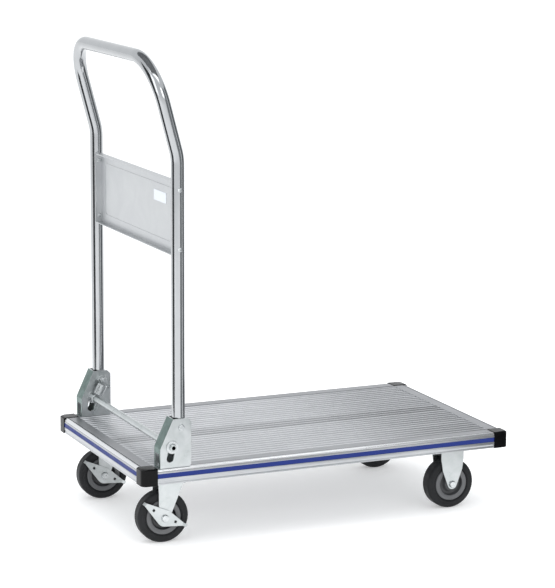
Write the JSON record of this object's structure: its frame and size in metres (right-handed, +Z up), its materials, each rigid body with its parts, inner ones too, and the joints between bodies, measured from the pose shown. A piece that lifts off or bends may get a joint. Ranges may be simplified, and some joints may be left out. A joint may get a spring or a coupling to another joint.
{
  "type": "platform trolley",
  "caption": "Ribbed aluminium platform trolley with a folding push handle, foot release bar, two braked swivel casters and two fixed casters.",
  "frame": {"origin": "on the floor, under the middle of the platform", "axes": "+X along the platform away from the handle, +Y across it, +Z up"},
  "size_m": [0.772, 0.4812, 0.9301],
  "materials": {
    "plank_aluminium": "extruded, mill finish",
    "profile_aluminium": "extruded, satin",
    "strip_pvc": "soft PVC, satin",
    "cap_plastic": "moulded, semi-gloss",
    "handle_chrome": "bright plated",
    "panel_steel": "zinc plated sheet",
    "label_vinyl": "plain sticker",
    "tyre_rubber": "solid rubber",
    "hub_plastic": "moulded",
    "bush_plastic": "moulded",
    "bright_steel": "bright",
    "zinc_steel": "bright zinc plated"
  },
  "bodies": {
    "platform": {"deck_plank_near_outer": "plank_aluminium", "deck_plank_near_inner": "plank_aluminium", "deck_plank_centre": "plank_aluminium", "deck_plank_far_inner": "plank_aluminium", "deck_plank_far_outer": "plank_aluminium", "side_profile_near": "profile_aluminium", "side_profile_far": "profile_aluminium", "end_profile_handle": "profile_aluminium", "end_profile_front": "profile_aluminium", "side_strips": "strip_pvc", "end_strips": "strip_pvc", "corner_cap_handle_near": "cap_plastic", "corner_cap_handle_far": "cap_plastic", "corner_cap_front_near": "cap_plastic", "corner_cap_front_far": "cap_plastic", "cross_bearer_handle": "zinc_steel", "cross_bearer_front": "zinc_steel", "bearer_screws": "zinc_steel", "caster_bolts": "zinc_steel", "caster_nuts": "zinc_steel", "handle_bracket_near": "zinc_steel", "handle_bracket_far": "zinc_steel", "bracket_screws": "zinc_steel", "handle_stops": "zinc_steel", "pivot_bolts": "zinc_steel", "pivot_nuts": "zinc_steel", "swivel_plate_near": "zinc_steel", "swivel_plate_far": "zinc_steel", "kingpins": "zinc_steel", "swivel_balls": "bright_steel", "fixed_fork_near": "zinc_steel", "fixed_fork_far": "zinc_steel", "fixed_axles": "zinc_steel"},
    "handle": {"handle_tube": "handle_chrome", "handle_panel": "panel_steel", "panel_label": "label_vinyl", "pivot_sleeves": "zinc_steel", "panel_rivets": "zinc_steel"},
    "foot_release": {"release_bar": "zinc_steel", "latch_plates": "zinc_steel", "bar_washers": "zinc_steel", "latch_springs": "bright_steel"},
    "fork_near": {"swivel_fork_near": "zinc_steel", "swivel_axle_near": "zinc_steel"},
    "fork_far": {"swivel_fork_far": "zinc_steel", "swivel_axle_far": "zinc_steel"},
    "lever_near": {"brake_lever_near": "zinc_steel"},
    "lever_far": {"brake_lever_far": "zinc_steel"},
    "swivel_wheel_near": {"swivel_hub_near": "hub_plastic", "swivel_tyre_near": "tyre_rubber", "swivel_bush_near": "bush_plastic"},
    "swivel_wheel_far": {"swivel_hub_far": "hub_plastic", "swivel_tyre_far": "tyre_rubber", "swivel_bush_far": "bush_plastic"},
    "fixed_wheel_near": {"fixed_hub_near": "hub_plastic", "fixed_tyre_near": "tyre_rubber", "fixed_bush_near": "bush_plastic"},
    "fixed_wheel_far": {"fixed_hub_far": "hub_plastic", "fixed_tyre_far": "tyre_rubber", "fixed_bush_far": "bush_plastic"}
  },
  "joints": [
    {"name": "handle_fold", "type": "hinge", "parent": "platform", "child": "handle", "pos_m": [-0.307, 0, 0.235], "axis": [0, 1, 0], "range_deg": [0, 90]},
    {"name": "release_slide", "type": "slide", "parent": "platform", "child": "foot_release", "axis": [-0.2011, 0, -0.9796], "range_m": [0, 0.022], "stiffness_N_per_m": 600, "springref_m": -0.03, "deforming": ["latch_springs"]},
    {"name": "swivel_near", "type": "hinge", "parent": "platform", "child": "fork_near", "pos_m": [-0.303, -0.165, 0.117], "axis": [0, 0, 1], "continuous": true},
    {"name": "swivel_far", "type": "hinge", "parent": "platform", "child": "fork_far", "pos_m": [-0.303, 0.165, 0.117], "axis": [0, 0, 1], "continuous": true},
    {"name": "swivel_wheel_spin_near", "type": "hinge", "parent": "fork_near", "child": "swivel_wheel_near", "pos_m": [-0.32098, -0.16406, 0.05], "axis": [0.0523, 0.9986, 0], "continuous": true},
    {"name": "brake_near", "type": "hinge", "parent": "fork_near", "child": "lever_near", "pos_m": [-0.32098, -0.16406, 0.05], "axis": [-0.0523, -0.9986, 0], "range_deg": [0, 20]},
    {"name": "swivel_wheel_spin_far", "type": "hinge", "parent": "fork_far", "child": "swivel_wheel_far", "pos_m": [-0.32098, 0.16594, 0.05], "axis": [0.0523, 0.9986, 0], "continuous": true},
    {"name": "brake_far", "type": "hinge", "parent": "fork_far", "child": "lever_far", "pos_m": [-0.32098, 0.16594, 0.05], "axis": [-0.0523, -0.9986, 0], "range_deg": [0, 20]},
    {"name": "fixed_wheel_spin_near", "type": "hinge", "parent": "platform", "child": "fixed_wheel_near", "pos_m": [0.29, -0.165, 0.05], "axis": [0, 1, 0], "continuous": true},
    {"name": "fixed_wheel_spin_far", "type": "hinge", "parent": "platform", "child": "fixed_wheel_far", "pos_m": [0.29, 0.165, 0.05], "axis": [0, 1, 0], "continuous": true}
  ]
}
